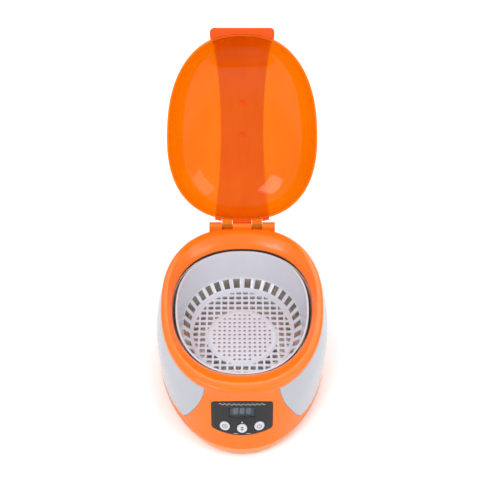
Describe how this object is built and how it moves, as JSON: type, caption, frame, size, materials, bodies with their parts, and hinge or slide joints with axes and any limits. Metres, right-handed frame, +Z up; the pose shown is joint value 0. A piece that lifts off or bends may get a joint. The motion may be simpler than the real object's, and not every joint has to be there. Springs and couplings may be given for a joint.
{
  "type": "ultrasonic cleaner",
  "caption": "Egg-shaped household ultrasonic cleaner with a steel tank, a lift-out slotted basket, a clear hinged lid with an opaque strap, and a front panel with display and push buttons.",
  "frame": {"origin": "on the surface that the feet stand on, below the middle of the bounding box with the lid open", "axes": "+Z up, +Y to the back where the hinge is, +X to the right when facing the control panel; front is -Y"},
  "size_m": [0.178, 0.3318, 0.2968],
  "materials": {
    "orange_plastic": "smooth moulded, satin to glossy",
    "white_plastic": "smooth moulded, light cool grey",
    "basket_plastic": "moulded, light cool grey",
    "clear_orange": "clear tinted plastic, polished",
    "foot_rubber": "matt black",
    "screw_steel": "zinc plated",
    "tank_steel": "drawn stainless, satin",
    "bare_aluminium": "machined",
    "piezo_ceramic": null,
    "lead_insulation": "silicone sleeve",
    "board_laminate": "solder resist",
    "transformer_core": "ferrite core with taped winding",
    "black_plastic": "fine texture",
    "fuse_glass": "glass tube",
    "pin_brass": "nickel washed",
    "panel_film": "satin black film",
    "window_clear": "smoked window",
    "display_face": "grey filter",
    "button_plastic": "satin"
  },
  "bodies": {
    "body": {"upper_housing": "orange_plastic", "side_panel_left": "white_plastic", "side_panel_right": "white_plastic", "bottom_cover": "orange_plastic", "foot_1": "foot_rubber", "foot_2": "foot_rubber", "foot_3": "foot_rubber", "foot_4": "foot_rubber", "cover_screw_1": "screw_steel", "cover_screw_2": "screw_steel", "cover_screw_3": "screw_steel", "cover_screw_4": "screw_steel", "tank": "tank_steel", "tank_gasket": "foot_rubber", "tank_clamp_1": "tank_steel", "tank_clamp_2": "tank_steel", "tank_clamp_3": "tank_steel", "tank_clamp_4": "tank_steel", "clamp_screw_1": "screw_steel", "clamp_screw_2": "screw_steel", "clamp_screw_3": "screw_steel", "clamp_screw_4": "screw_steel", "transducer_plate": "bare_aluminium", "piezo_disc": "piezo_ceramic", "transducer_lead": "lead_insulation", "driver_board": "board_laminate", "transformer": "transformer_core", "heat_sink": "bare_aluminium", "power_transistor": "black_plastic", "filter_capacitor": "black_plastic", "fuse": "fuse_glass", "inlet_socket": "black_plastic", "inlet_pin_left": "pin_brass", "inlet_pin_right": "pin_brass", "hinge_pin": "screw_steel", "control_panel": "panel_film", "display_window": "window_clear", "control_board": "board_laminate", "display_module": "display_face", "switch_left": "black_plastic", "switch_middle": "black_plastic", "switch_right": "black_plastic", "board_screw_left": "screw_steel", "board_screw_right": "screw_steel"},
    "lid": {"lid_dome": "clear_orange", "lid_strap": "orange_plastic", "strap_stud_1": "screw_steel", "strap_stud_2": "screw_steel"},
    "basket": {"basket": "basket_plastic"},
    "key_left": {"button_left": "button_plastic"},
    "key_middle": {"button_middle": "button_plastic"},
    "key_right": {"button_right": "button_plastic"}
  },
  "joints": [
    {"name": "lid", "type": "hinge", "parent": "body", "child": "lid", "pos_m": [0, 0.07087, 0.091], "axis": [1, 0, 0], "range_deg": [0, 111.5]},
    {"name": "basket_lift", "type": "slide", "parent": "body", "child": "basket", "axis": [0, 0, 1], "range_m": [0, 0.125]},
    {"name": "button_left_press", "type": "slide", "parent": "body", "child": "key_left", "axis": [0, 0.9396, -0.3422], "range_m": [0, 0.0009], "stiffness_N_per_m": 900, "springref_m": -0.0006},
    {"name": "button_middle_press", "type": "slide", "parent": "body", "child": "key_middle", "axis": [0, 0.9396, -0.3422], "range_m": [0, 0.0009], "stiffness_N_per_m": 900, "springref_m": -0.0006},
    {"name": "button_right_press", "type": "slide", "parent": "body", "child": "key_right", "axis": [0, 0.9396, -0.3422], "range_m": [0, 0.0009], "stiffness_N_per_m": 900, "springref_m": -0.0006}
  ]
}
